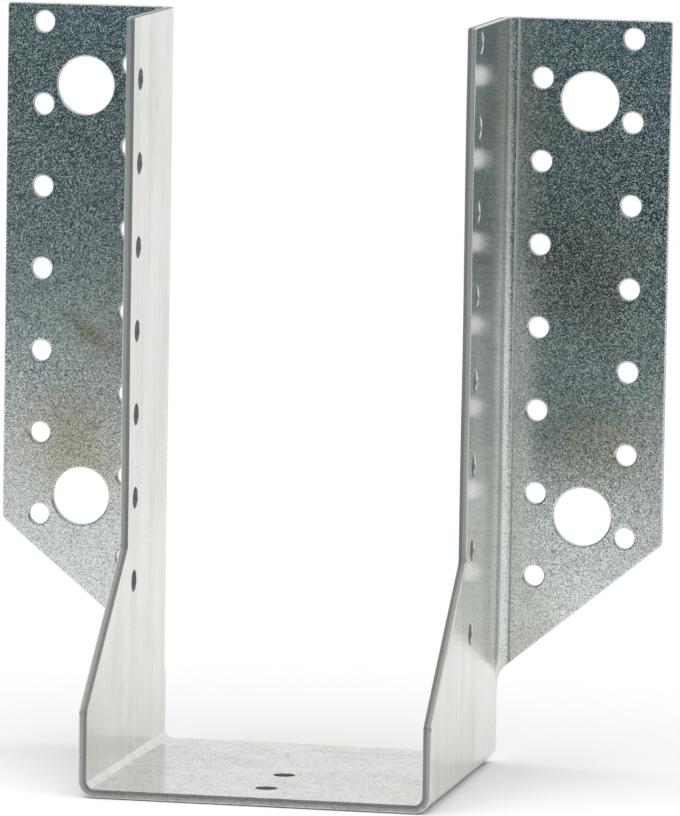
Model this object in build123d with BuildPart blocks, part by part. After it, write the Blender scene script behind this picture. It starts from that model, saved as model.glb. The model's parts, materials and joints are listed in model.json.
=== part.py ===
"""Face-fixed joist hanger: one blank of galvanised sheet, punched and then folded.

The joist stands in the trough between the two walls and rests on the seat. The two
flanges fold outwards from the walls' back edges and lie flat against the header beam.
Frame: +Z up, +Y towards the header, X across the joist. The origin is on the seat's
underside, in the middle of the hanger's width and of its depth. Sizes are millimetres.
"""

import os
from math import floor

from build123d import *

# Sheet and folds
sheet = 2.0  # thickness of the galvanised sheet
inside_bend = 2.0  # inside radius of every fold
corner_round = 0.8  # round on the blank's outer corners
kink_round = 2.0  # round where the wall's front edge changes direction

# Trough
joist_width = 80.0  # clear width between the two walls
height = 180.0  # seat underside to the top edges
depth = 84.0  # front of the seat to the back of the flanges
wall_reach = 44.5  # back of the flanges to the wall's upper front edge
wall_flare_top = 53.8  # level where the wall starts to widen towards the seat
wall_flare_foot = 20.3  # level where the wall reaches the seat's full depth
foot_setback = 2.0  # seat and wall feet stop this far short of the header

# Flanges
flange_width = 41.4  # wall's inside face to the flange's outer edge
flange_foot = 54.2  # level of the flange's lower outer corner
flange_root = 23.5  # level where the slanted edge meets the fold
root_round = 4.0  # hollow round between the slanted edge and the wall's foot

# Punched holes
nail_hole = 5.0  # diameter of every nail hole
nail_pitch = 20.0  # spacing along every row of nail holes
nail_margin = 6.0  # least distance from a hole's centre to the end of its row
bolt_hole = 14.0  # diameter of the header bolt holes
bolt_pitch = 100.0  # upper bolt hole to lower bolt hole
header_outer_inset = 32.3  # wall's inside face to the outer row on the flange
header_outer_drop = 4.5  # top edge to that row's first hole
header_inner_inset = 10.4  # wall's inside face to the inner row on the flange
header_inner_drop = 14.4  # top edge to that row's first hole
bolt_inset = 21.9  # wall's inside face to the bolt holes
bolt_drop = 19.7  # top edge to the upper bolt hole
joist_edge = 7.0  # wall's upper front edge to the joist nail row
joist_right_drop = 4.0  # top edge to the first joist nail hole, right wall
joist_left_drop = 15.0  # the same on the left wall, where the row is staggered
seat_edge = 14.0  # front of the seat to its first nail hole
seat_holes = 2  # nail holes along the middle of the seat

# Places worked out from the sizes above
outside_bend = inside_bend + sheet
inner_face = joist_width / 2
outer_face = inner_face + sheet
fold_end = inner_face + outside_bend  # where the fold runs out into the flange
flange_edge = inner_face + flange_width
back = depth / 2  # plane of the header
front = -depth / 2
fold_start = back - outside_bend  # where the wall runs into the fold
foot_back = back - foot_setback
wall_front = back - wall_reach
slant = (flange_foot - flange_root) / (flange_edge - fold_end)  # rise over run
root_level = flange_root - slant * (fold_end - outer_face)  # slant meets the wall here
fold_foot = root_level - root_round  # the fold has run out into the wall's foot here
shank = 2 * sheet  # a punch runs this far to each side of its starting plane


def row_levels(drop, lowest):
    """Levels of a row's holes, from the top edge's drop down to the lowest one allowed."""
    first = height - drop
    count = floor((first - lowest - nail_margin) / nail_pitch) + 1
    return [first - nail_pitch * step for step in range(count)]


def slant_level(inset):
    """Level of the flange's slanted edge at a distance from the wall's inside face."""
    return flange_root + slant * (inner_face + inset - fold_end)


# The U-shaped trough: a seat and two walls, cut to the blank's outline
with BuildPart() as trough:
    with BuildSketch(Plane.XZ.offset(-back)) as channel:
        with Locations((0, height / 2)):
            Rectangle(joist_width + 2 * sheet, height)
        fillet(channel.vertices().group_by(Axis.Y)[0], outside_bend)
        with BuildSketch(mode=Mode.PRIVATE) as clear_width:
            with Locations((0, sheet + height / 2)):
                Rectangle(joist_width, height)
            fillet(clear_width.vertices().group_by(Axis.Y)[0], inside_bend)
        add(clear_width.sketch, mode=Mode.SUBTRACT)
    extrude(amount=depth)

    with BuildSketch(Plane.YZ) as wall_outline:
        with BuildLine():
            Polyline(
                (front, 0),
                (front, wall_flare_foot),
                (wall_front, wall_flare_top),
                (wall_front, height),
                (fold_start, height),
                (fold_start, root_level),
                (foot_back, root_level - foot_setback),
                (foot_back, 0),
                close=True,
            )
        make_face()
        kinks = wall_outline.vertices().filter_by_position(Axis.Y, wall_flare_foot, wall_flare_top)
        fillet(kinks.filter_by_position(Axis.X, front, wall_front), kink_round)
        top_front = wall_outline.vertices().group_by(Axis.Y)[-1].sort_by(Axis.X)[0]
        fillet(top_front, corner_round)
    extrude(amount=flange_edge, both=True, mode=Mode.INTERSECT)

# The two flanges with their folds, cut to the slanted outline of the blank
with BuildPart() as flanges:
    with BuildSketch(Plane.XY):
        with Locations((fold_end, fold_start)):
            with BuildSketch(mode=Mode.PRIVATE) as quarter_ring:
                Circle(outside_bend)
                Circle(inside_bend, mode=Mode.SUBTRACT)
                Rectangle(outside_bend, outside_bend, align=(Align.MAX, Align.MIN), mode=Mode.INTERSECT)
            add(quarter_ring.sketch)
        with Locations((fold_end, back)):
            Rectangle(flange_edge - fold_end, sheet, align=(Align.MIN, Align.MAX))
        mirror(about=Plane.YZ)
    extrude(amount=height)

    with BuildSketch(Plane.XZ) as flange_outline:
        with BuildLine():
            Polyline(
                (inner_face, height),
                (flange_edge, height),
                (flange_edge, flange_foot),
                (outer_face, root_level),
                (outer_face, fold_foot),
                (inner_face, fold_foot),
                close=True,
            )
        make_face()
        fillet(flange_outline.vertices().sort_by_distance((outer_face, root_level))[0], root_round)
        fillet(flange_outline.vertices().group_by(Axis.X)[-1], corner_round)
        mirror(about=Plane.YZ)
    extrude(amount=depth, both=True, mode=Mode.INTERSECT)

    # Below its root the fold fades back to the plane of the foot's edge
    with BuildSketch(Plane.YZ):
        with BuildLine():
            Polyline(
                (fold_start, height),
                (back, height),
                (back, flange_root),
                (foot_back, fold_foot),
                (fold_start, fold_foot),
                close=True,
            )
        make_face()
    extrude(amount=flange_edge, both=True, mode=Mode.INTERSECT)

# The folded sheet, then the holes punched through it
with BuildPart() as joist_hanger:
    add(trough.part)
    add(flanges.part)

    # Two rows of header nails to a flange, and the bolt holes between them
    with BuildSketch(Plane.XZ.offset(-back)):
        for side in (-1, 1):
            outer_x = side * (inner_face + header_outer_inset)
            inner_x = side * (inner_face + header_inner_inset)
            bolt_x = side * (inner_face + bolt_inset)
            outer_row = row_levels(header_outer_drop, slant_level(header_outer_inset))
            inner_row = row_levels(header_inner_drop, slant_level(header_inner_inset))
            with Locations(*[(outer_x, level) for level in outer_row]):
                Circle(nail_hole / 2)
            with Locations(*[(inner_x, level) for level in inner_row]):
                Circle(nail_hole / 2)
            with Locations((bolt_x, height - bolt_drop), (bolt_x, height - bolt_drop - bolt_pitch)):
                Circle(bolt_hole / 2)
    extrude(amount=shank, both=True, mode=Mode.SUBTRACT)

    # One row of joist nails in each wall, staggered so that the nails pass each other
    for face_x, drop in ((inner_face, joist_right_drop), (-inner_face, joist_left_drop)):
        with BuildSketch(Plane.YZ.offset(face_x)):
            with Locations(*[(wall_front + joist_edge, level) for level in row_levels(drop, wall_flare_foot)]):
                Circle(nail_hole / 2)
        extrude(amount=shank, both=True, mode=Mode.SUBTRACT)

    # Nails up into the joist through the middle of the seat
    with BuildSketch(Plane.XY):
        with Locations(*[(0, front + seat_edge + nail_pitch * step) for step in range(seat_holes)]):
            Circle(nail_hole / 2)
    extrude(amount=shank, both=True, mode=Mode.SUBTRACT)

joist_hanger.part.label = "joist_hanger"
os.makedirs("parts", exist_ok=True)
export_step(joist_hanger.part, "parts/joist_hanger.step")
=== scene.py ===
"""Looks of a face-fixed joist hanger: a punched blank of galvanised sheet, folded in four places.

The blank is drawn flat with its outline and its holes, given the rolled rim that a punch
leaves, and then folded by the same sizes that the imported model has. The finish is the
zinc of continuously galvanised steel. Lengths are millimetres until a mesh is made.
"""

from __future__ import annotations

import json
import logging
import math
from dataclasses import dataclass, field
from enum import Enum
from typing import Any, Iterable

import bmesh
import bpy
from mathutils import Matrix, Vector, noise

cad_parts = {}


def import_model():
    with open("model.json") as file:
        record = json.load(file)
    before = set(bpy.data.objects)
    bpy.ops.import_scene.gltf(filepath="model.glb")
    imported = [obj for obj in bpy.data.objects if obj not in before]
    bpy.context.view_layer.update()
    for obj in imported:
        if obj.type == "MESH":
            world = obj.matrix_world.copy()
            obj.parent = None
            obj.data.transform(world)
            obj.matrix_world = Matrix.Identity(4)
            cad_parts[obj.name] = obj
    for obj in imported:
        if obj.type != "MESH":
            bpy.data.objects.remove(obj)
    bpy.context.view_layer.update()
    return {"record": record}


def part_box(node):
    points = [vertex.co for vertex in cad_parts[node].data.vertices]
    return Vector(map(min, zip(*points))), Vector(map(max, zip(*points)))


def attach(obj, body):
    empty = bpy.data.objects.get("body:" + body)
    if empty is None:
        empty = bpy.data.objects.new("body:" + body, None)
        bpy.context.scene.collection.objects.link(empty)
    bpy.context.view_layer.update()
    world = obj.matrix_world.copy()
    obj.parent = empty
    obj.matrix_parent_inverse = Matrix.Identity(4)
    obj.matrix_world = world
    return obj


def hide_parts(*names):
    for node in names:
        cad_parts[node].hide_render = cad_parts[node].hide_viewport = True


LOG = logging.getLogger("joist_hanger")
MM = 0.001  # metres in a millimetre
NODE = "joist_hanger"
BLANK = "blank"  # mesh attribute: each point's place on the flat blank, in metres

NAIL_POINTS = 36  # points round a nail hole
BOLT_POINTS = 56  # points round a bolt hole
BOLT_RADIUS = 4.0  # holes of a larger radius are bolt holes
SEAT_FOLD_STEPS = 12  # divisions of a seat fold
FLANGE_FOLD_STEPS = 14  # divisions of a flange fold
RELEASE_STEPS = 8  # divisions of the height in which a flange fold forms
PRESS_STEPS = 6  # divisions across the die's line
UNFOLDED = 1e-3  # share of a fold under which a point stays flat
SNAP = 1e-4  # distance within which a division takes the points that are there
PUNCHED_SIDE = 0.9  # share of the thickness over which a point lies on the punched face
SHARP_FROM = 38.0  # degrees between faces at which an edge is drawn sharp
FLOOR_OVERLAP = 1.1  # radius of the floor as a share of where it has faded out
FLOOR_SIDES = 64  # sides of the floor's outline
BAND_STEPS = 60  # divisions of a band round the front

Point = tuple[float, float]
Socket = bpy.types.NodeSocket
Tree = bpy.types.NodeTree


def linear(colour: str) -> tuple[float, float, float, float]:
    """Turns an sRGB hex colour into linear light.

    Args:
        colour: Six hex digits, such as "c8ccce".

    Returns:
        Red, green, blue and an alpha of 1, in linear light.
    """
    channels = [int(colour[i : i + 2], 16) / 255 for i in (0, 2, 4)]
    lit = [c / 12.92 if c <= 0.04045 else ((c + 0.055) / 1.055) ** 2.4 for c in channels]
    return (lit[0], lit[1], lit[2], 1.0)


def add_node(
    tree: Tree, kind: str, inputs: dict[Any, Any] | None = None, **settings: Any
) -> bpy.types.Node:
    """Adds one shader node, with its settings, values and links.

    Args:
        tree: The node tree that gets the node.
        kind: Blender's name for the node type, without its ShaderNode start.
        inputs: Socket name or number to a value, or to the output socket that feeds it.
        **settings: Properties of the node itself.

    Returns:
        The new node.
    """
    node = tree.nodes.new("ShaderNode" + kind)
    for name, value in settings.items():
        setattr(node, name, value)
    for key, value in (inputs or {}).items():
        if isinstance(value, bpy.types.NodeSocket):
            tree.links.new(value, node.inputs[key])
        else:
            node.inputs[key].default_value = value
    return node


def calc(tree: Tree, operation: str, *values: Socket | float) -> Socket:
    """Works out one sum.

    Args:
        tree: The node tree that gets the node.
        operation: Blender's name for the sum.
        *values: What it is worked out from.

    Returns:
        The result.
    """
    return add_node(tree, "Math", dict(enumerate(values)), operation=operation).outputs[0]


def remap(tree: Tree, value: Socket, span: Point, ends: Point = (0.0, 1.0), **settings: Any) -> Socket:
    """Maps a span of values onto another, and holds what lies outside at its ends.

    Args:
        tree: The node tree that gets the node.
        value: The value to map.
        span: Values at which the result reaches its two ends.
        ends: Those two ends.
        **settings: Properties of the node itself.

    Returns:
        The mapped value.
    """
    inputs = {"Value": value, "From Min": span[0], "From Max": span[1]}
    inputs |= {"To Min": ends[0], "To Max": ends[1]}
    return add_node(tree, "MapRange", inputs, **settings).outputs[0]


def tint(tree: Tree, share: Socket, under: Any, over: Any) -> Socket:
    """Lays one colour over another.

    Args:
        tree: The node tree that gets the node.
        share: How much of the upper colour shows, from 0 to 1.
        under: The lower colour.
        over: The upper colour.

    Returns:
        The mixed colour.
    """
    return add_node(tree, "Mix", {0: share, 6: under, 7: over}, data_type="RGBA").outputs[2]


def smooth_step(value: float, low: float, high: float) -> float:
    """Rises smoothly between two values.

    Args:
        value: Where it is read.
        low: Value up to which the result is 0.
        high: Value from which the result is 1.

    Returns:
        A share from 0 to 1.
    """
    t = min(max((value - low) / (high - low), 0.0), 1.0)
    return t * t * (3 - 2 * t)


# ---------------------------------------------------------------------------- geometry


@dataclass(frozen=True)
class SheetStock:
    """The sheet that the blank is cut from, and how it bends.

    Attributes:
        thickness: Thickness of the sheet.
        inside_bend: Inside radius of every fold.
    """

    thickness: float = 2.0
    inside_bend: float = 2.0

    @property
    def outside_bend(self) -> float:
        """Outside radius of every fold."""
        return self.inside_bend + self.thickness

    @property
    def neutral(self) -> float:
        """Radius of the layer that a fold neither stretches nor shortens."""
        return self.inside_bend + self.thickness / 2

    @property
    def fold_length(self) -> float:
        """Length of blank that a right-angled fold takes up."""
        return self.neutral * math.pi / 2


@dataclass(frozen=True)
class PunchedRim:
    """Section of an edge that a punch or a shear has cut.

    The punch draws the face down into a roll, leaves a burnished band, and then the sheet
    breaks away with a rough, slightly receding face.

    Attributes:
        roll: Width of the rolled-over edge on the punched face.
        burnish: Share of the thickness that is rolled or burnished.
        recession: How far the broken face draws back by the far side.
        margin: Distance beyond the rim at which the face is truly flat.
        drop: Depth of the roll as a share of its width.
        tear: Share of the recession that the broken face soon has, and how deep under its start.
        bevel: Width and height of the bevel where it meets the far face.
    """

    roll: float = 0.34
    burnish: float = 0.55
    recession: float = 0.12
    margin: float = 0.14
    drop: float = 0.8
    tear: Point = (0.6, 0.18)
    bevel: Point = (0.07, 0.08)

    def steps(self, thickness: float) -> list[Point]:
        """Lists the section from the punched face round to the far face.

        Args:
            thickness: Thickness of the sheet.

        Returns:
            Pairs of distance into the sheet from the cut, and height above the far face.
        """
        roll = self.roll
        rolled = [
            (roll * (1 - math.sin(angle)), thickness - self.drop * roll * (1 - math.cos(angle)))
            for angle in (math.radians(a) for a in (0, 18, 36, 54, 72, 90))
        ]
        broken = thickness * (1 - self.burnish)
        far = self.recession + self.bevel[0]
        return [(roll + self.margin, thickness)] + rolled + [
            (0.0, broken),
            (self.recession * self.tear[0], broken - self.tear[1]),
            (self.recession, self.bevel[1]),
            (far, 0.0),
            (far + self.margin, 0.0),
        ]


@dataclass(frozen=True)
class FoldMap:
    """Carries a point of the flat blank to its place on the folded hanger.

    On the blank, the first coordinate runs across the seat and on up a wall, the second
    runs towards the header and on out along a flange, and the third is the height above
    the trough's inside face.

    Attributes:
        stock: The sheet.
        half_width: Middle of the seat to a wall's inside face.
        fold_start: Depth at which a wall runs into its flange fold.
        free_below: Level under which the wall's foot stays unfolded.
        folded_above: Level over which the flange fold is complete.
    """

    stock: SheetStock
    half_width: float
    fold_start: float
    free_below: float
    folded_above: float

    @property
    def seat_flat(self) -> float:
        """Middle of the seat to the start of the seat fold."""
        return self.half_width - self.stock.inside_bend

    @property
    def wall_start(self) -> float:
        """Blank distance at which the seat fold ends and the wall begins."""
        return self.seat_flat + self.stock.fold_length

    @property
    def flange_start(self) -> float:
        """Blank depth at which the flange fold ends and the flange begins."""
        return self.fold_start + self.stock.fold_length

    def up_wall(self, level: float) -> float:
        """Blank distance of a level on a wall."""
        return self.wall_start + level - self.stock.outside_bend

    def along_flange(self, across: float) -> float:
        """Blank depth of a place on a flange, given its distance from the middle."""
        return self.flange_start + across - self.half_width - self.stock.outside_bend

    def fold(self, point: Vector) -> Vector:
        """Folds one point.

        Args:
            point: Place on the blank.

        Returns:
            Place on the hanger, in the frame's axes.
        """
        stock = self.stock
        side = -1.0 if point.x < 0 else 1.0
        run, depth, lift = abs(point.x), point.y, point.z
        if run <= self.seat_flat:
            return Vector((point.x, depth, stock.thickness - lift))
        if run < self.wall_start:
            turn = (run - self.seat_flat) / stock.neutral
            radius = stock.inside_bend + lift
            across = self.seat_flat + radius * math.sin(turn)
            level = stock.outside_bend - radius * math.cos(turn)
        else:
            across = self.half_width + lift
            level = stock.outside_bend + run - self.wall_start
        past = depth - self.fold_start
        share = smooth_step(level, self.free_below, self.folded_above)
        if past <= 0 or share < UNFOLDED:
            return Vector((side * across, depth, level))
        radius = stock.neutral / share
        arc = min(past, stock.fold_length)
        turn = arc / radius
        beyond = past - arc
        offset = lift - stock.thickness / 2
        middle = self.half_width + stock.thickness / 2
        across = middle + radius * (1 - math.cos(turn)) + offset * math.cos(turn) + beyond * math.sin(turn)
        depth = self.fold_start + (radius - offset) * math.sin(turn) + beyond * math.cos(turn)
        return Vector((side * across, depth, level))


def rounded(corners: list[tuple[float, float, float]], spacing: float = 0.35) -> list[Point]:
    """Rounds the corners of a closed outline.

    Args:
        corners: Each corner's place and the radius of its round.
        spacing: Longest step along a round.

    Returns:
        The outline's points, in the same order.
    """
    points: list[Point] = []
    for index, (x, y, radius) in enumerate(corners):
        here = Vector((x, y))
        before = Vector(corners[index - 1][:2]) - here
        after = Vector(corners[(index + 1) % len(corners)][:2]) - here
        half = before.angle(after) / 2
        bisector = (before.normalized() + after.normalized()).normalized()
        centre = here + bisector * radius / math.sin(half)
        start = here + before.normalized() * radius / math.tan(half) - centre
        end = here + after.normalized() * radius / math.tan(half) - centre
        sweep = start.angle_signed(end)
        count = max(3, math.ceil(abs(sweep) * radius / spacing))
        for step in range(count + 1):
            turned = start.copy()
            turned.rotate(Matrix.Rotation(-sweep * step / count, 2))
            points.append(tuple(centre + turned))
    return points


def inset(points: list[Point], distance: float) -> list[Point]:
    """Moves a closed anticlockwise outline towards its inside.

    Args:
        points: The outline.
        distance: How far every side moves.

    Returns:
        As many points, in the same order.
    """
    moved: list[Point] = []
    for index, here in enumerate(points):
        before = Vector(here) - Vector(points[index - 1])
        after = Vector(points[(index + 1) % len(points)]) - Vector(here)
        first = Vector((-before.y, before.x)).normalized()
        second = Vector((-after.y, after.x)).normalized()
        shift = (first + second) / (1 + first.dot(second)) * distance
        moved.append((here[0] + shift.x, here[1] + shift.y))
    return moved


@dataclass
class PunchedHole:
    """One round hole in the blank.

    Attributes:
        place: Its centre on the blank.
        radius: Its radius.
    """

    place: Point
    radius: float

    def ring(self, distance: float) -> list[Point]:
        """Lists points round the hole.

        Args:
            distance: How far outside the hole's wall they lie.

        Returns:
            The points, anticlockwise.
        """
        count = BOLT_POINTS if self.radius > BOLT_RADIUS else NAIL_POINTS
        reach = self.radius + distance
        turns = (2 * math.pi * step / count for step in range(count))
        return [(self.place[0] + reach * math.cos(t), self.place[1] + reach * math.sin(t)) for t in turns]


@dataclass
class Blank:
    """The flat blank, as a closed mesh with punched rims.

    Attributes:
        stock: The sheet.
        rim: Section of every cut edge.
        outline: Points of its outline, anticlockwise.
        holes: The holes punched in it.
        cuts_across: Blank distances at which its faces are divided.
        cuts_along: Blank depths at which its faces are divided.
    """

    stock: SheetStock
    rim: PunchedRim
    outline: list[Point]
    holes: list[PunchedHole]
    cuts_across: list[float]
    cuts_along: list[float]

    def _loop_walls(
        self, bm: bmesh.types.BMesh, rings: list[list[Point]], heights: list[float]
    ) -> tuple[list, list]:
        """Builds the cut face round one loop.

        Args:
            bm: The mesh.
            rings: The loop at each step of the rim's section.
            heights: Height of each step.

        Returns:
            The edges of the loop on the punched face, and on the far face.
        """
        rows = [[bm.verts.new((x, y, height)) for x, y in ring] for ring, height in zip(rings, heights)]
        count = len(rows[0])
        for upper, lower in zip(rows, rows[1:]):
            for here in range(count):
                there = (here + 1) % count
                bm.faces.new((upper[here], upper[there], lower[there], lower[here]))
        near, far = (
            [bm.edges.get((row[i], row[(i + 1) % count])) for i in range(count)]
            for row in (rows[0], rows[-1])
        )
        return near, far

    def mesh(self) -> bmesh.types.BMesh:
        """Builds the flat blank and divides it where it will fold.

        Returns:
            The mesh, which the caller frees.
        """
        bm = bmesh.new()
        steps = self.rim.steps(self.stock.thickness)
        heights = [height for _, height in steps]
        punched, far = self._loop_walls(bm, [inset(self.outline, d) for d, _ in steps], heights)
        for hole in self.holes:
            near_edges, far_edges = self._loop_walls(bm, [hole.ring(d) for d, _ in steps], heights)
            punched += near_edges
            far += far_edges
        bmesh.ops.triangle_fill(bm, use_beauty=True, use_dissolve=False, edges=punched, normal=(0, 0, 1))
        bmesh.ops.triangle_fill(bm, use_beauty=True, use_dissolve=False, edges=far, normal=(0, 0, -1))
        bmesh.ops.recalc_face_normals(bm, faces=bm.faces)
        for axis, cuts in ((Vector((1, 0, 0)), self.cuts_across), (Vector((0, 1, 0)), self.cuts_along)):
            for cut in cuts:
                geometry = bm.verts[:] + bm.edges[:] + bm.faces[:]
                bmesh.ops.bisect_plane(bm, geom=geometry, dist=SNAP, plane_co=axis * cut, plane_no=axis)
        return bm


# ------------------------------------------------------------------------------ finish


class MarkKind(Enum):
    """What left a mark on the zinc."""

    STAIN = "stain"
    SCRATCH = "scratch"
    SCUFF = "scuff"


class Facing(Enum):
    """Axis that the marked face looks along."""

    ACROSS = 0
    HEADER = 1
    UP = 2


@dataclass(frozen=True)
class Mark:
    """One mark on a face of the sheet.

    Attributes:
        kind: What left it.
        centre: Its middle, in the frame's axes.
        length: Its length along its own direction.
        width: Its width.
        turn: Turn of its direction within the face, in degrees.
        strength: How strongly it shows, from 0 to 1.
        facing: Axis that the marked face looks along.
        depth: How far off the face it still reaches.
    """

    kind: MarkKind
    centre: tuple[float, float, float]
    length: float
    width: float
    turn: float = 0.0
    strength: float = 0.6
    facing: Facing = Facing.HEADER
    depth: float = 1.5

    @property
    def reach(self) -> tuple[float, ...]:
        """Half its size along each axis before it is turned, in metres."""
        sizes = [self.length / 2 * MM, self.width / 2 * MM]
        sizes.insert(self.facing.value, self.depth * MM)
        return tuple(sizes)

    @property
    def rotation(self) -> tuple[float, ...]:
        """Its turn about each axis, in radians."""
        return tuple(math.radians(self.turn) if axis == self.facing.value else 0.0 for axis in range(3))


@dataclass(frozen=True)
class GalvanisedZinc:
    """Zinc of continuously hot-dip galvanised strip, skin-passed to a fine grain.

    The steel runs through molten zinc and then through a roughened roll, so it is a bright
    metal with a fine even speckle of frosted crystals instead of large flowers. The die
    leaves drawn lines and soft bands on the walls. Store and handling add patches of warmer
    oxide, clouded rubs, thin scratches and brownish stain.

    Attributes:
        bright: Colour of the clean grains.
        dull: Colour of the duller grains between them.
        warm: Colour of the thin oxide where the strip has lain in store.
        stain: Colour of the storage stain.
        scratch: Colour of freshly scratched zinc.
        broken: Colour of the rough half of a cut edge, where steel shows.
        burnished: Colour of the smooth half, where zinc was smeared over the steel.
        scuff: Colour of zinc dulled by rubbing.
        hole_shade: Colour of the painted shade on a hole's wall, laid on where ambient occlusion finds the
            cut edge recessed.
        grain: Size of the crystals, and of the teeth along the broken half of a cut edge.
        ragged: Size of the raggedness round a mark.
        rolled: Spacing of the rolling lines along the strip, and their length.
        drag: Spacing of the lines that the die drags up the walls, and their length.
        sweep: Width and length of the die's broad soft bands on the walls.
        patch: Size of the patches of thicker oxide.
        rub: Size of the rubs that handling leaves.
        roughness: Roughness of the clean zinc, and of its dullest patches.
        rubbed: Roughness of the walls, which the die has rubbed smooth.
        tilt: How far the crystals' faces lean from the sheet's, as a share of its normal.
        frosted: Roughness that the frostiest crystals add.
    """

    bright: str = "dedfda"
    dull: str = "c8cecd"
    warm: str = "cfc9bc"
    stain: str = "a8966f"
    scratch: str = "f6f6f4"
    scuff: str = "b1b3ae"
    broken: str = "a3a29e"
    burnished: str = "c0c0bc"
    hole_shade: str = "8b8c89"
    grain: float = 0.21
    ragged: float = 2.5
    rolled: tuple[float, float] = (0.45, 30.0)
    drag: tuple[float, float] = (0.8, 45.0)
    sweep: tuple[float, float] = (9.0, 85.0)
    patch: float = 24.0
    rub: float = 7.0
    roughness: tuple[float, float] = (0.09, 0.14)
    rubbed: float = 0.17
    tilt: float = 0.06
    frosted: float = 0.85

    def tone(self, kind: MarkKind) -> str:
        """Finds the colour that a kind of mark gives the zinc.

        Args:
            kind: The kind of mark.

        Returns:
            The colour, as sRGB hex digits.
        """
        tones = {MarkKind.STAIN: self.stain, MarkKind.SCRATCH: self.scratch, MarkKind.SCUFF: self.scuff}
        return tones[kind]

    def _mark_mask(self, tree: Tree, place: Socket, mark: Mark) -> Socket:
        """Builds the strength of one mark at each point.

        Args:
            tree: The material's node tree.
            place: The point, in the frame's axes and in metres.
            mark: The mark.

        Returns:
            A socket from 0, away from the mark, to the mark's strength.
        """
        centre = tuple(c * MM for c in mark.centre)
        settings = {"Vector": place, "Location": centre, "Rotation": mark.rotation, "Scale": mark.reach}
        local = add_node(tree, "Mapping", settings, vector_type="TEXTURE").outputs[0]
        distance = add_node(tree, "VectorMath", {0: local}, operation="LENGTH").outputs["Value"]
        ragged_in = {"Vector": place, "Scale": 1 / (self.ragged * MM), "Detail": 3.0}
        ragged = add_node(tree, "TexNoise", ragged_in).outputs[0]
        worn = calc(tree, "MULTIPLY_ADD", ragged, 0.7, distance)
        return remap(tree, worn, (0.45, 1.35), (mark.strength, 0.0), interpolation_type="SMOOTHSTEP")

    def _lines(self, tree: Tree, blank: Socket, size: tuple[float, float, float], detail: float) -> Socket:
        """Builds noise drawn out into lines.

        Args:
            tree: The material's node tree.
            blank: The point's place on the blank, in metres.
            size: Size of the noise along each of the blank's axes.
            detail: How much finer structure the lines have.

        Returns:
            A socket from 0 to 1.
        """
        scale = tuple(1 / (length * MM) for length in size)
        drawn = add_node(tree, "VectorMath", {0: blank, 1: scale}, operation="MULTIPLY").outputs[0]
        return add_node(tree, "TexNoise", {"Vector": drawn, "Scale": 1.0, "Detail": detail}).outputs[0]

    def material(
        self, stock: SheetStock, fold: FoldMap, press_line: float, marks: Iterable[Mark]
    ) -> bpy.types.Material:
        """Builds the material.

        Args:
            stock: The sheet, for the bands of its cut edges.
            fold: Where the flange folds lie on the blank.
            press_line: Middle of the die's line on the blank, where it has crushed the crystals.
            marks: Marks on its faces.

        Returns:
            The material.
        """
        made = bpy.data.materials.new("galvanised_steel_sheet")
        made.use_nodes = True
        tree = made.node_tree
        tree.nodes.clear()
        blank = add_node(tree, "Attribute", attribute_name=BLANK).outputs["Vector"]
        place = add_node(tree, "TexCoord").outputs["Object"]
        parts = add_node(tree, "SeparateXYZ", {0: blank}).outputs

        cell_in = {"Vector": blank, "Scale": 1 / (self.grain * MM)}
        crystal = add_node(tree, "TexVoronoi", cell_in).outputs["Color"]
        lot = add_node(tree, "SeparateXYZ", {0: crystal}).outputs
        patch_in = {"Vector": place, "Scale": 1 / (self.patch * MM), "Detail": 4.0, "Roughness": 0.62}
        patch = add_node(tree, "TexNoise", patch_in).outputs[0]
        rolled = self._lines(tree, blank, (self.rolled[0], self.rolled[1], self.rolled[0]), 3.0)
        drag = self._lines(tree, blank, (self.drag[1], self.drag[0], self.drag[0]), 3.0)
        sweep = self._lines(tree, blank, (self.sweep[1], self.sweep[0], self.sweep[0]), 1.0)

        # The die rubs the walls between the seat folds and the flange folds
        up = calc(tree, "ABSOLUTE", parts[0])
        wall = remap(tree, up, (fold.seat_flat * MM, fold.wall_start * MM))
        near = remap(tree, parts[1], (fold.fold_start * MM, fold.flange_start * MM), (1.0, 0.0))
        wall = calc(tree, "MULTIPLY", wall, near)

        # Crystals: each is lighter or duller than its neighbours, unless it has been rubbed
        free = calc(tree, "MULTIPLY_ADD", wall, -0.85, 1.0)
        dim = remap(tree, lot[0], (0.10, 0.60), (1.0, 0.0))
        dim = calc(tree, "MULTIPLY", dim, free)
        colour = tint(tree, dim, linear(self.bright), linear(self.dull))

        # Patches of warmer oxide, fine rolling lines, and the die's lines and bands on the walls
        oxide = remap(tree, patch, (0.45, 0.75), (0.0, 0.6))
        colour = tint(tree, oxide, colour, linear(self.warm))
        lines = remap(tree, rolled, (0.55, 0.75), (0.0, 0.4))
        lines = calc(tree, "MULTIPLY", lines, free)
        colour = tint(tree, lines, colour, linear(self.scuff))
        both = calc(tree, "ADD", drag, sweep)
        drawn = remap(tree, both, (0.95, 1.3), (0.0, 0.45))
        drawn = calc(tree, "MULTIPLY", drawn, wall)
        colour = tint(tree, drawn, colour, linear(self.scuff))

        # Handling leaves clouded rubs on the seat, and fainter ones on the walls
        wear_in = {"Vector": place, "Scale": 1 / (self.rub * MM), "Detail": 6.0}
        wear_in |= {"Roughness": 0.7, "Distortion": 0.8}
        wear = add_node(tree, "TexNoise", wear_in).outputs[0]
        rubs = remap(tree, wear, (0.42, 0.70), (0.0, 0.62))
        rubs = calc(tree, "MULTIPLY", rubs, near)
        spared = calc(tree, "MULTIPLY_ADD", wall, -0.7, 1.0)
        rubs = calc(tree, "MULTIPLY", rubs, spared)
        colour = tint(tree, rubs, colour, linear(self.scuff))

        for mark in marks:
            mask = self._mark_mask(tree, place, mark)
            colour = tint(tree, mask, colour, linear(self.tone(mark.kind)))

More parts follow.
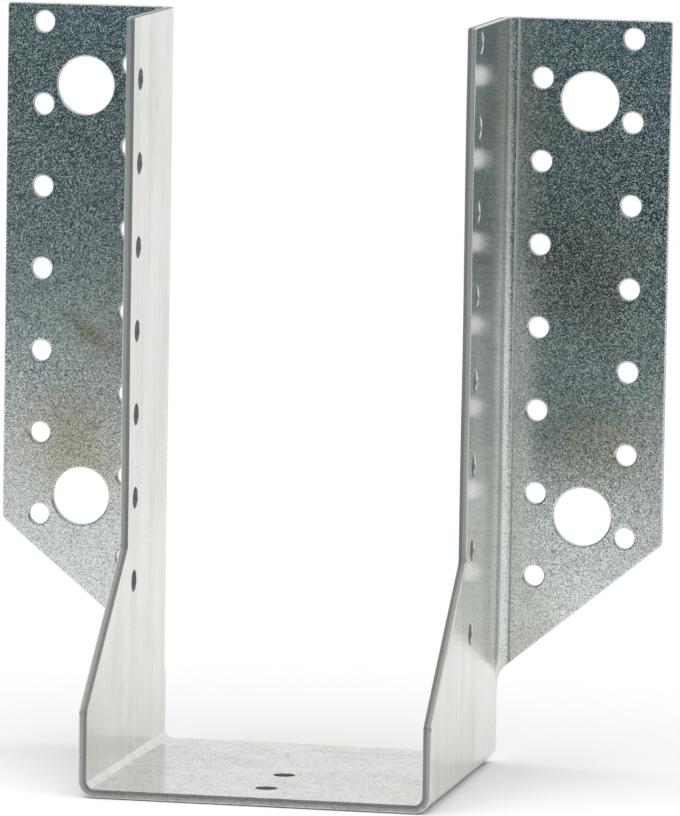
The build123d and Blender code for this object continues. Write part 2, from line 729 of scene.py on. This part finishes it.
        # Cut edges: broken steel on the far side, burnished zinc, then the rolled rim
        teeth_in = {"Vector": blank, "Scale": 1 / (self.grain * MM), "Detail": 2.0, "Roughness": 0.6}
        teeth = add_node(tree, "TexNoise", teeth_in).outputs[0]
        height = calc(tree, "DIVIDE", parts[2], stock.thickness * MM)
        ragged = calc(tree, "MULTIPLY_ADD", teeth, 0.10, height)
        cut = remap(tree, height, (0.01, 0.05))
        rim = remap(tree, height, (0.80, 0.90), (1.0, 0.0))
        edge = calc(tree, "MULTIPLY", cut, rim)
        smooth = remap(tree, ragged, (0.46, 0.54))
        bare = tint(tree, smooth, linear(self.broken), linear(self.burnished))
        # Painted shade: the cut edge is darkened where ambient occlusion finds it recessed, which is mostly a
        # hole's wall, since it sees the wall across from it
        open_in = {"Distance": 6 * MM}
        open_out = add_node(tree, "AmbientOcclusion", open_in, samples=6, only_local=True).outputs["AO"]
        hole_shade_share = remap(tree, open_out, (0.55, 0.95), (0.85, 0.0))
        bare = tint(tree, hole_shade_share, bare, linear(self.hole_shade))
        colour = tint(tree, edge, colour, bare)

        # Thicker oxide is duller than clean zinc, and a rubbed wall or a cut edge duller still
        rough = remap(tree, patch, (0.3, 0.7), self.roughness)
        rough = add_node(tree, "Mix", {0: wall, 2: rough, 3: self.rubbed}).outputs[0]
        rough = calc(tree, "MULTIPLY_ADD", edge, 0.5, rough)

        # Some crystals are frosted, and the die has crushed those along its line
        frost = remap(tree, lot[1], (0.70, 0.96))
        frost = calc(tree, "MULTIPLY", frost, free)
        off_line = calc(tree, "SUBTRACT", parts[1], press_line * MM)
        off_line = calc(tree, "ABSOLUTE", off_line)
        pressed = remap(tree, off_line, (0.12 * MM, 0.42 * MM), (0.85, 0.0))
        frost = calc(tree, "MAXIMUM", frost, pressed)
        rough = calc(tree, "MULTIPLY_ADD", frost, self.frosted, rough)

        # Each crystal leans its own way, which makes the sheet sparkle
        lean = add_node(tree, "VectorMath", {0: crystal, 1: (0.5, 0.5, 0.5)}, operation="SUBTRACT").outputs[0]
        most = calc(tree, "MULTIPLY", free, self.tilt)
        lean = add_node(tree, "VectorMath", {0: lean, "Scale": most}, operation="SCALE").outputs[0]
        normal = add_node(tree, "NewGeometry").outputs["Normal"]
        leaning = add_node(tree, "VectorMath", {0: normal, 1: lean}, operation="ADD").outputs[0]
        leaning = add_node(tree, "VectorMath", {0: leaning}, operation="NORMALIZE").outputs[0]

        # Rolling lines and the die's lines stand out by a few thousandths of a millimetre
        unrubbed = calc(tree, "MULTIPLY", rolled, free)
        relief_in = {"Height": unrubbed, "Distance": 0.006 * MM, "Strength": 0.6, "Normal": leaning}
        relief = add_node(tree, "Bump", relief_in).outputs[0]
        relief_in = {"Height": both, "Distance": 0.01 * MM, "Strength": 0.5, "Normal": relief}
        relief = add_node(tree, "Bump", relief_in).outputs[0]
        metal_in = {"Base Color": colour, "Metallic": 1.0, "Roughness": rough, "Normal": relief}
        shader = add_node(tree, "BsdfPrincipled", metal_in)
        add_node(tree, "OutputMaterial", {"Surface": shader.outputs[0]})
        return made


# ------------------------------------------------------------------------------ hanger


@dataclass
class JoistHanger:
    """The hanger: its blank's sizes, its mesh and its finish.

    Attributes:
        low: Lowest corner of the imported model.
        high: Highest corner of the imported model.
        mounts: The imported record's mounts, which give the holes.
        stock: The sheet.
        rim: Section of the cut edges.
        zinc: The finish.
        wall_reach: Back of the flanges to a wall's upper front edge.
        flare_top: Level where a wall starts to widen towards the seat.
        flare_foot: Level where it reaches the seat's full depth.
        foot_setback: The feet stop this far short of the header.
        flange_foot: Level of a flange's lower outer corner.
        flange_root: Level where its slanted edge meets the fold.
        corner_round: Round on the outer corners.
        kink_round: Round where a wall's front edge changes direction.
        root_round: Hollow round between the slanted edge and the wall's foot.
        division: Largest face on the flat parts.
        bow: How far the flat parts wander from flat, and over what length.
        press_line: Depth and width of the line that the die leaves beside a flange fold.
        press_gap: Gap between that line and the end of the fold.
        release: How far under the root a flange fold begins to form, and is complete.
    """

    low: Vector
    high: Vector
    mounts: list[dict[str, Any]]
    stock: SheetStock = field(default_factory=SheetStock)
    rim: PunchedRim = field(default_factory=PunchedRim)
    zinc: GalvanisedZinc = field(default_factory=GalvanisedZinc)
    wall_reach: float = 44.5
    flare_top: float = 53.8
    flare_foot: float = 20.3
    foot_setback: float = 2.0
    flange_foot: float = 54.2
    flange_root: float = 23.5
    corner_round: float = 0.8
    kink_round: float = 2.0
    root_round: float = 4.0
    division: float = 6.0
    bow: tuple[float, float] = (0.15, 42.0)
    press_line: tuple[float, float] = (0.14, 0.9)
    press_gap: float = 0.1
    release: tuple[float, float] = (6.5, 0.5)

    @property
    def half_width(self) -> float:
        """Middle of the trough to a wall's inside face."""
        wall = next(mount for mount in self.mounts if mount["name"] == "joist_nails_right_1")
        return wall["pos_m"][0] / MM - self.stock.thickness

    @property
    def fold(self) -> FoldMap:
        """How the blank folds."""
        begins, complete = (self.flange_root - below for below in self.release)
        return FoldMap(self.stock, self.half_width, self.high.y - self.stock.outside_bend, begins, complete)

    @property
    def press_start(self) -> float:
        """Blank depth at which the die's line begins."""
        return self.fold.flange_start + self.press_gap

    @property
    def press_middle(self) -> float:
        """Blank depth of the middle of the die's line."""
        return self.press_start + self.press_line[1] / 2

    def outline(self) -> list[Point]:
        """Draws the blank's outline.

        Returns:
            Its points, anticlockwise.
        """
        fold = self.fold
        front, back = self.low.y, self.high.y
        out = fold.along_flange(self.high.x)
        foot = back - self.foot_setback
        slope = (self.flange_foot - self.flange_root) / (out - fold.flange_start)
        root = fold.up_wall(self.flange_root) - slope * (fold.flange_start - foot)
        top = fold.up_wall(self.high.z)
        right = [
            (fold.up_wall(self.flare_foot), front, self.kink_round),
            (fold.up_wall(self.flare_top), back - self.wall_reach, self.kink_round),
            (top, back - self.wall_reach, self.corner_round),
            (top, out, self.corner_round),
            (fold.up_wall(self.flange_foot), out, self.corner_round),
            (root, foot, self.root_round),
        ]
        return rounded(right + [(-x, y, radius) for x, y, radius in reversed(right)])

    def _centres(self, mount: dict[str, Any]) -> list[Vector]:
        """Lists the centres of one mount's holes.

        Args:
            mount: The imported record's mount.

        Returns:
            The centres, in the frame's axes.
        """
        dims = mount["dims"]
        middle = Vector(mount["pos_m"]) / MM
        first, second = [unit for unit, part in zip(Matrix.Identity(3), mount["axis"]) if not part]
        centres = [middle]
        for unit, key in ((first, "spacing_x_mm"), (second, "spacing_y_mm")):
            if key in dims:
                centres = [c + unit * dims[key] * half for c in centres for half in (-0.5, 0.5)]
        return centres

    def holes(self) -> list[PunchedHole]:
        """Places every hole of the record on the blank.

        Returns:
            The holes, in the order of the record's mounts.
        """
        fold = self.fold
        holes: list[PunchedHole] = []
        for mount in self.mounts:
            radius = mount["dims"].get("hole_r_mm", mount["dims"].get("r_mm"))
            if radius is None:
                continue
            for centre in self._centres(mount):
                side = math.copysign(1, centre.x)
                if mount["axis"][1]:
                    place = (side * fold.up_wall(centre.z), fold.along_flange(abs(centre.x)))
                elif mount["axis"][0]:
                    place = (side * fold.up_wall(centre.z), centre.y)
                else:
                    place = (centre.x, centre.y)
                holes.append(PunchedHole(place, radius))
        return holes

    def _cuts(self) -> tuple[list[float], list[float]]:
        """Lists where the blank's faces are divided.

        Returns:
            The blank distances across, and the blank depths along.
        """
        fold = self.fold
        top = fold.up_wall(self.high.z)
        length = fold.stock.fold_length
        arc = [fold.seat_flat + length * step / SEAT_FOLD_STEPS for step in range(SEAT_FOLD_STEPS + 1)]
        rise = fold.folded_above - fold.free_below
        levels = [fold.free_below + rise * step / RELEASE_STEPS for step in range(RELEASE_STEPS + 1)]
        turning = [fold.up_wall(level) for level in levels]
        count = math.floor(top / self.division)
        plain = [self.division * step for step in range(1, count)]
        across = sorted(arc + turning + plain)
        across = [-c for c in reversed(across)] + [0.0] + across
        out = fold.along_flange(self.high.x)
        bend = [fold.fold_start + length * step / FLANGE_FOLD_STEPS for step in range(FLANGE_FOLD_STEPS + 1)]
        width = self.press_line[1]
        press = [self.press_start + width * step / PRESS_STEPS for step in range(PRESS_STEPS + 1)]
        count = math.floor((out - self.low.y) / self.division)
        along = [self.low.y + self.division * step for step in range(1, count + 1)]
        return across, sorted(bend + press + [c for c in along if c < out])

    def _worked(self, point: Vector) -> Vector:
        """Gives a point of the flat blank the marks of working: a slight bow and the die's line.

        Args:
            point: Place on the blank.

        Returns:
            Where working has left it.
        """
        reach, span = self.bow
        place = Vector((point.x / span, point.y / span, 0.0))
        lift = point.z + reach * noise.noise(place)
        depth, width = self.press_line
        from_line = abs(point.y - self.press_middle)
        on_wall = abs(point.x) > self.fold.up_wall(self.flange_root)
        on_face = point.z > self.stock.thickness * PUNCHED_SIDE
        if on_wall and on_face and from_line < width / 2:
            lift -= depth * (1 - 2 * from_line / width)
        return Vector((point.x, point.y, lift))

    def marks(self) -> list[Mark]:
        """Lists the marks of storage and handling.

        Returns:
            The marks, in the order in which they are laid over each other.
        """
        face = self.high.y - self.stock.thickness
        inside = -self.half_width
        seat = self.stock.thickness
        stain, scratch, scuff = MarkKind.STAIN, MarkKind.SCRATCH, MarkKind.SCUFF
        return [
            Mark(stain, (-60.0, face, 100.0), 24.0, 7.0, 34.0, 0.6),
            Mark(stain, (-64.0, face, 72.0), 46.0, 30.0, 80.0, 0.40),
            Mark(stain, (60.0, face, 118.0), 60.0, 34.0, 60.0, 0.32),
            Mark(stain, (64.0, face, 78.0), 44.0, 36.0, 20.0, 0.42),
            Mark(scratch, (-66.0, face, 151.5), 16.0, 0.5, 4.0, 0.7),
            Mark(scratch, (-64.0, face, 150.6), 12.0, 0.4, 3.0, 0.5),
            Mark(scratch, (68.0, face, 162.5), 18.0, 0.5, -3.0, 0.6),
            Mark(scratch, (70.0, face, 161.3), 12.0, 0.4, -2.0, 0.5),
            Mark(scratch, (49.5, face, 170.0), 14.0, 0.6, 82.0, 0.5),
            # A small darker spot high on the inside of the left wall, near its far edge
            Mark(scuff, (inside, 22.0, 158.0), 3.0, 5.0, 0.0, 0.8, Facing.ACROSS),
            Mark(scuff, (inside, 10.0, 90.0), 5.0, 70.0, 2.0, 0.35, Facing.ACROSS),
            Mark(scuff, (inside, -14.0, 30.0), 12.0, 40.0, -18.0, 0.3, Facing.ACROSS),
            Mark(scuff, (14.0, 30.0, seat), 60.0, 6.0, 2.0, 0.5, Facing.UP),
            Mark(scuff, (-16.0, 12.0, seat), 26.0, 8.0, -24.0, 0.35, Facing.UP),
            Mark(scuff, (30.0, -8.0, seat), 14.0, 30.0, 30.0, 0.3, Facing.UP),
        ]

    def build(self) -> bpy.types.Object:
        """Builds, folds and dresses the sheet.

        Returns:
            The finished object, linked to the scene.
        """
        across, along = self._cuts()
        blank = Blank(self.stock, self.rim, self.outline(), self.holes(), across, along)
        bm = blank.mesh()
        flat = [component * MM for vert in bm.verts for component in vert.co]
        fold = self.fold
        for vert in bm.verts:
            vert.co = fold.fold(self._worked(vert.co)) * MM
        mesh = bpy.data.meshes.new("folded_sheet")
        bmesh.ops.recalc_face_normals(bm, faces=bm.faces)
        bm.to_mesh(mesh)
        bm.free()
        mesh.attributes.new(BLANK, "FLOAT_VECTOR", "POINT").data.foreach_set("vector", flat)
        mesh.shade_smooth()
        mesh.set_sharp_from_angle(angle=math.radians(SHARP_FROM))
        mesh.materials.append(self.zinc.material(self.stock, fold, self.press_middle, self.marks()))
        sheet = bpy.data.objects.new("folded_sheet", mesh)
        bpy.context.scene.collection.objects.link(sheet)
        LOG.info("folded sheet: %d faces, %d holes", len(mesh.polygons), len(blank.holes))
        return sheet


# ------------------------------------------------------------------------------ studio


@dataclass(frozen=True)
class SoftLamp:
    """One soft lamp that lights the whole floor alike, and that the zinc doesn't mirror.

    Attributes:
        name: Its name.
        turn: Its turn about each axis, in degrees.
        strength: Its strength.
        spread: Its apparent width, in degrees.
    """

    name: str
    turn: tuple[float, float, float]
    strength: float
    spread: float = 95.0

    def build(self) -> None:
        """Hangs the lamp in the scene."""
        lamp = bpy.data.lights.new(self.name, "SUN")
        lamp.energy = self.strength
        lamp.angle = math.radians(self.spread)
        holder = bpy.data.objects.new(self.name, lamp)
        holder.rotation_euler = [math.radians(t) for t in self.turn]
        holder.visible_glossy = False
        bpy.context.scene.collection.objects.link(holder)


@dataclass(frozen=True)
class Studio:
    """A pale floor in a white room, with a dark surround beyond the floor's front.

    Attributes:
        floor: Colour of the floor.
        fade: Distances over which the floor passes into the white room.
        strip: Colour of the strip where the surround begins.
        surround: Colour of the surround.
        wall: Colour of the surround's wall.
        rings: Distances from the hanger at which the strip and the surround begin.
        skew: How much farther off they begin to the sides than in the middle, as a share.
        turned: Direction of that middle, in degrees to the right of straight ahead.
        reach: Distance of the surround's wall.
        height: Height of that wall.
        clearance: Gap between the seat and the floor.
        spread: Degrees that the surround reaches round to each side of the front.
        room: Colour of the light that the room gives, in linear light.
        room_strength: Strength of that light.
        lamps: The lamps.
    """

    floor: str = "fbfbfa"
    fade: tuple[float, float] = (0.25, 0.8)
    strip: str = "7b9195"
    surround: str = "2a3b41"
    wall: str = "648594"
    rings: tuple[float, float] = (0.35, 0.70)
    skew: float = 3.6
    turned: float = -6.0
    reach: float = 4.0
    height: float = 2.6
    clearance: float = 0.2
    spread: float = 88.0
    room: tuple[float, float, float, float] = (0.95, 0.98, 1.0, 1.0)
    room_strength: float = 0.4
    lamps: tuple[SoftLamp, ...] = (
        SoftLamp("key_light", (24.0, 0.0, -18.0), 1.5),
        SoftLamp("fill_light", (26.0, 0.0, 50.0), 0.9),
    )

    def _card(self, name: str, mesh: bpy.types.Mesh, material: bpy.types.Material) -> bpy.types.Object:
        """Adds a surface that is part of the studio, not of the object.

        Args:
            name: Name of the surface.
            mesh: Its mesh.
            material: Its material.

        Returns:
            The surface's object.
        """
        mesh.materials.append(material)
        card = bpy.data.objects.new(name, mesh)
        bpy.context.scene.collection.objects.link(card)
        return card

    def _band(self, name: str, near: Point, far: Point, colour: str) -> None:
        """Adds a band round the front that only reflections show, as a dark card does.

        Args:
            name: Name of the band.
            near: Radius and level of its first edge.
            far: Radius and level of its second edge.
            colour: Its colour.
        """
        bm = bmesh.new()
        rows = []
        for step in range(BAND_STEPS + 1):
            turn = math.radians(self.spread * (2 * step / BAND_STEPS - 1))
            aside = abs(math.sin(turn - math.radians(self.turned)))
            row = []
            for radius, level in (near, far):
                share = (self.reach - radius) / self.reach
                out = radius * (1 + self.skew * share * aside)
                row.append(bm.verts.new((out * math.sin(turn), -out * math.cos(turn), level)))
            rows.append(row)
        for first, second in zip(rows, rows[1:]):
            bm.faces.new((first[0], second[0], second[1], first[1]))
        mesh = bpy.data.meshes.new(name)
        bm.to_mesh(mesh)
        bm.free()
        paint = bpy.data.materials.new(name)
        paint.use_nodes = True
        tree = paint.node_tree
        tree.nodes.clear()
        shader = add_node(tree, "Emission", {"Color": linear(colour)})
        add_node(tree, "OutputMaterial", {"Surface": shader.outputs[0]})
        card = self._card(name, mesh, paint)
        card.visible_camera = False
        card.visible_diffuse = False
        card.visible_transmission = False
        card.visible_shadow = False

    def _floor(self) -> None:
        """Adds the floor, which keeps the shadow near the hanger and fades out round it."""
        bm = bmesh.new()
        radius = self.fade[1] * FLOOR_OVERLAP
        bmesh.ops.create_circle(bm, cap_ends=True, radius=radius, segments=FLOOR_SIDES)
        mesh = bpy.data.meshes.new("floor")
        bm.to_mesh(mesh)
        bm.free()
        paint = bpy.data.materials.new("pale_floor")
        paint.use_nodes = True
        tree = paint.node_tree
        tree.nodes.clear()
        place = add_node(tree, "TexCoord").outputs["Object"]
        out = add_node(tree, "VectorMath", {0: place}, operation="LENGTH").outputs["Value"]
        share = remap(tree, out, self.fade, interpolation_type="SMOOTHSTEP")
        matt = add_node(tree, "BsdfDiffuse", {"Color": linear(self.floor)}).outputs[0]
        clear = add_node(tree, "BsdfTransparent").outputs[0]
        shader = add_node(tree, "MixShader", {0: share, 1: matt, 2: clear}).outputs[0]
        add_node(tree, "OutputMaterial", {"Surface": shader})
        self._card("floor", mesh, paint).location.z = -self.clearance * MM

    def build(self) -> None:
        """Builds the floor, the dark surround, the world and the lamps."""
        self._floor()
        first, second = self.rings
        self._band("front_strip", (first, 0.0), (second, 0.0), self.strip)
        self._band("front_mat", (second, 0.0), (self.reach, 0.0), self.surround)
        self._band("front_wall", (self.reach, 0.0), (self.reach, self.height), self.wall)
        self._world()
        for lamp in self.lamps:
            lamp.build()
        LOG.info("studio: floor, dark surround and %d soft lamps", len(self.lamps))

    def _world(self) -> None:
        """Lights the room evenly, and shows it white to the eye and to reflections."""
        world = bpy.data.worlds.new("white_room")
        world.use_nodes = True
        tree = world.node_tree
        tree.nodes.clear()
        path = add_node(tree, "LightPath").outputs
        seen = calc(tree, "MAXIMUM", path["Is Camera Ray"], path["Is Glossy Ray"])
        seen = calc(tree, "MAXIMUM", seen, path["Is Transmission Ray"])
        light = add_node(tree, "Background", {"Color": self.room, "Strength": self.room_strength}).outputs[0]
        white = add_node(tree, "Background", {"Color": (1.0, 1.0, 1.0, 1.0), "Strength": 1.0}).outputs[0]
        both = add_node(tree, "MixShader", {0: seen, 1: light, 2: white}).outputs[0]
        add_node(tree, "OutputWorld", {"Surface": both})
        bpy.context.scene.world = world


@dataclass(frozen=True)
class LongLens:
    """The camera, a long lens a little to the right of the hanger and above it.

    Attributes:
        place: Where it stands, in metres.
        azimuth: Degrees that it stands round to the right of straight ahead.
        elevation: Degrees that it looks down.
        roll: Degrees that it leans.
        lens: Focal length.
        frame_width: Width of its frame.
        sight: Farthest distance that it sees, in metres.
    """

    place: tuple[float, float, float] = (0.39306, -1.8555, 0.30799)
    azimuth: float = 11.652
    elevation: float = 6.593
    roll: float = 0.93
    lens: float = 356.2
    frame_width: float = 36.0
    sight: float = 100.0

    def build(self) -> None:
        """Builds the camera and makes it the scene's."""
        turn, down, lean = (math.radians(a) for a in (self.azimuth, self.elevation, self.roll))
        ahead = Vector((-math.sin(turn) * math.cos(down), math.cos(turn) * math.cos(down), -math.sin(down)))
        right = Vector((math.cos(turn), math.sin(turn), 0))
        up = right.cross(ahead)
        leaned_right = right * math.cos(lean) + up * math.sin(lean)
        leaned_up = up * math.cos(lean) - right * math.sin(lean)
        data = bpy.data.cameras.new("long_lens")
        data.sensor_width = self.frame_width
        data.lens = self.lens
        data.clip_end = self.sight
        camera = bpy.data.objects.new("long_lens", data)
        facing = Matrix((leaned_right, leaned_up, -ahead)).transposed().to_4x4()
        camera.matrix_world = Matrix.Translation(self.place) @ facing
        bpy.context.scene.collection.objects.link(camera)
        bpy.context.scene.camera = camera


def main() -> None:
    """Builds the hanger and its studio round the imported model."""
    logging.basicConfig(level=logging.INFO, format="%(name)s: %(message)s")
    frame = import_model()
    low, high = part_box(NODE)
    hanger = JoistHanger(low / MM, high / MM, frame["record"]["mounts"])
    sheet = hanger.build()
    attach(sheet, "root")
    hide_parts(NODE)
    Studio().build()
    LongLens().build()
    bpy.context.scene.view_settings.view_transform = "Standard"


if __name__ == "__main__":
    main()
